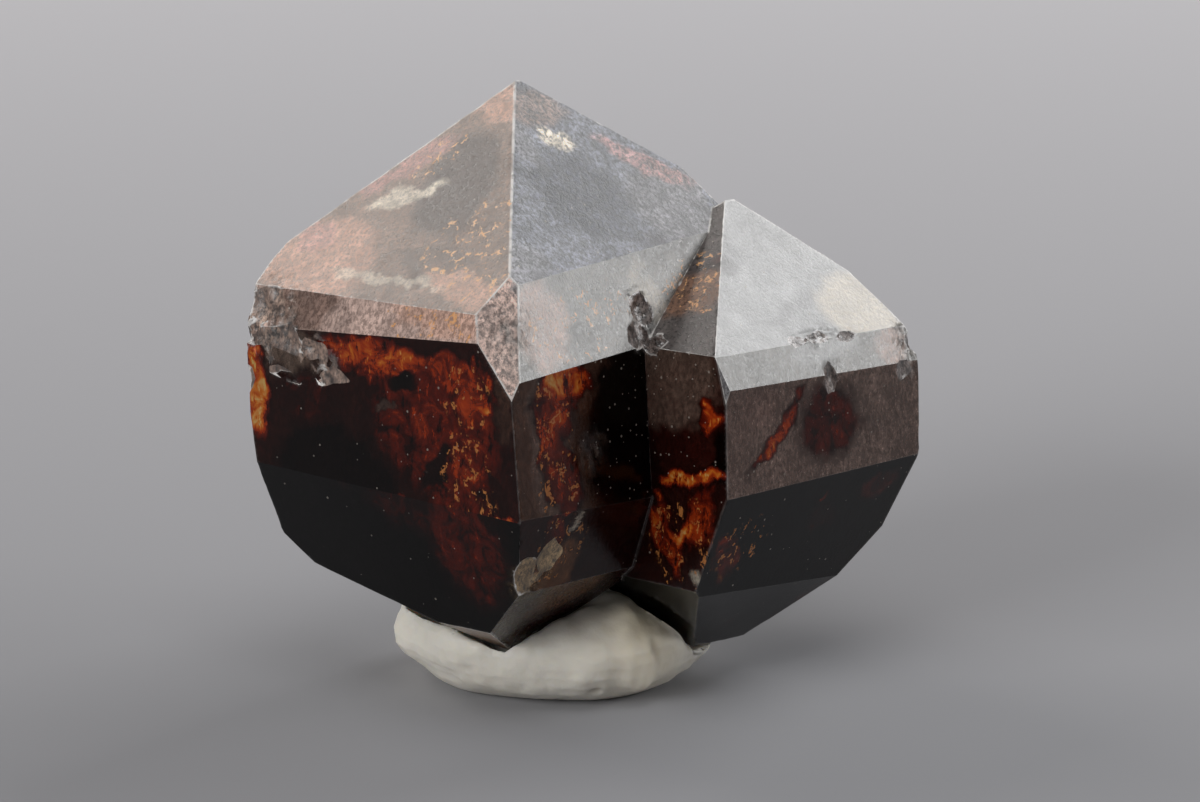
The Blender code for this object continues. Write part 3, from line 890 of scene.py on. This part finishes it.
SPECK_BROWN = (0.16, 0.09, 0.05, 1.0)
SKIN_DEPTH = 0.05 * MM
CREASE_WIDTH = 0.16
# Each crease: its middle, the way it runs, half its length and its depth.
CREASES = (
    ((-2.4, -3.9, 0.9), (0.92, 0.12, -0.35), 1.5, 0.13),
    ((0.4, -4.4, 1.1), (0.30, 0.10, 0.94), 1.1, 0.16),
    ((2.3, -3.9, 1.3), (-0.25, 0.10, 0.95), 1.2, 0.15),
    ((-4.6, -1.7, 1.2), (0.40, -0.85, 0.20), 1.3, 0.10),
    ((1.2, 2.9, 1.2), (0.80, 0.30, 0.50), 1.6, 0.12),
)

places, triangles = cut_fine(*merged_copy(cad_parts["putty"]), PUTTY_EDGE)
normals = corner_normals(places, triangles)[0]
spot = places / MM
lift = 0.24 * cloudy(spot, 1.7, 81) + 0.05 * cloudy(spot, 0.6, 91)
crease_depth = np.zeros(len(spot))
for middle, along, half_length, depth in CREASES:
    along = np.array(along) / np.linalg.norm(along)
    offset = spot - np.array(middle) + 0.16 * cloudy(spot, 0.8, 95)[:, None]
    run = offset @ along
    aside = np.linalg.norm(offset - run[:, None] * along, axis=1)
    taper = np.clip(2.0 * (1.0 - np.abs(run) / half_length), 0.0, 1.0)
    crease_depth += depth * np.exp(-(aside / CREASE_WIDTH) ** 2) * taper
lift -= crease_depth
lift = np.clip(lift, LOWEST, HIGHEST) * np.clip((spot[:, 2] - 0.02) / 0.5, 0.0, 1.0)
ridge_run = np.clip((spot[:, 2] - RIDGE_FOOT[2]) / (RIDGE_TOP[2] - RIDGE_FOOT[2]), 0.0, 1.0)
ridge_middle = RIDGE_FOOT + ridge_run[:, None] * (RIDGE_TOP - RIDGE_FOOT)
ridge_aside = np.hypot(spot[:, 0] - ridge_middle[:, 0], 0.5 * (spot[:, 1] - ridge_middle[:, 1]))
ridge = RIDGE_HEIGHT * np.exp(-(ridge_aside / RIDGE_WIDTH) ** 2)
lift += ridge * np.clip(spot[:, 2] / 0.8, 0.0, 1.0)
places = places + normals * lift[:, None] * MM

putty_mesh = bpy.data.meshes.new("putty_lump")
putty_mesh.from_pydata(places.tolist(), [], triangles.tolist())
putty_mesh.shade_smooth()
putty = bpy.data.objects.new("putty_lump", putty_mesh)
bpy.context.scene.collection.objects.link(putty)
corner_spot = spot[triangles].reshape(-1, 3)
# The creases are painted darker by their depth, and the top of the fold is yellower.
crease_dark = np.clip(crease_depth[triangles].reshape(-1) * 5.0, 0.0, 1.0)
yellow = np.exp(-np.sum(((corner_spot - FOLD_TOP) / FOLD_REACH) ** 2, axis=1))
speck = np.exp(-np.sum(((corner_spot - SPECK) / SPECK_REACH) ** 2, axis=1))
layer = putty_mesh.color_attributes.new("putty_marks", "FLOAT_COLOR", "CORNER")
putty_marks_values = np.column_stack((crease_dark, yellow, speck, np.ones(len(speck))))
layer.data.foreach_set("color", putty_marks_values.ravel())

putty_finish = bpy.data.materials.new("white_putty_soft")
putty_finish.use_nodes = True
nodes, links = putty_finish.node_tree.nodes, putty_finish.node_tree.links
shader = nodes["Principled BSDF"]
shader.inputs["Subsurface Weight"].default_value = 0.25
shader.inputs["Subsurface Radius"].default_value = (1.0, 0.8, 0.5)
shader.inputs["Subsurface Scale"].default_value = 0.0006
place = node_of(nodes, "ShaderNodeTexCoord")
putty_marks_layer = node_of(nodes, "ShaderNodeAttribute", attribute_name="putty_marks")
putty_marks = node_of(nodes, "ShaderNodeSeparateColor")
links.new(putty_marks_layer.outputs["Color"], putty_marks.inputs["Color"])
blotch = node_of(nodes, "ShaderNodeTexNoise", (("Scale", 700.0), ("Detail", 5.0)))
skin = node_of(nodes, "ShaderNodeTexNoise", (("Scale", 5200.0), ("Detail", 4.0), ("Roughness", 0.6)))
links.new(place.outputs["Object"], blotch.inputs["Vector"])
links.new(place.outputs["Object"], skin.inputs["Vector"])
colour = PUTTY_WHITE
# Mixed over the white: random blotches, the yellow fold top, the darker creases and the brown speck.
for source, strength, second in (
    (blotch.outputs["Fac"], 0.35, PUTTY_SHADE),
    (putty_marks.outputs["Green"], 0.70, PUTTY_YELLOW),
    (putty_marks.outputs["Red"], 0.60, PUTTY_CREASE_DARK),
    (putty_marks.outputs["Blue"], 1.00, SPECK_BROWN),
):
    amount = node_of(nodes, "ShaderNodeMath", operation="MULTIPLY", use_clamp=True)
    amount.inputs[1].default_value = strength
    links.new(source, amount.inputs[0])
    mix = node_of(nodes, "ShaderNodeMix", data_type="RGBA")
    links.new(amount.outputs[0], mix.inputs[0])
    if isinstance(colour, tuple):
        mix.inputs[6].default_value = colour
    else:
        links.new(colour, mix.inputs[6])
    mix.inputs[7].default_value = second
    colour = mix.outputs[2]
links.new(colour, shader.inputs["Base Color"])
sheen = node_of(nodes, "ShaderNodeMapRange", (("To Min", 0.42), ("To Max", 0.62)))
links.new(skin.outputs["Fac"], sheen.inputs["Value"])
links.new(sheen.outputs["Result"], shader.inputs["Roughness"])
bump = node_of(nodes, "ShaderNodeBump", (("Strength", 0.35), ("Distance", SKIN_DEPTH)))
links.new(skin.outputs["Fac"], bump.inputs["Height"])
links.new(bump.outputs["Normal"], shader.inputs["Normal"])
putty_mesh.materials.append(putty_finish)
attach(putty, "root")
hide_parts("putty")
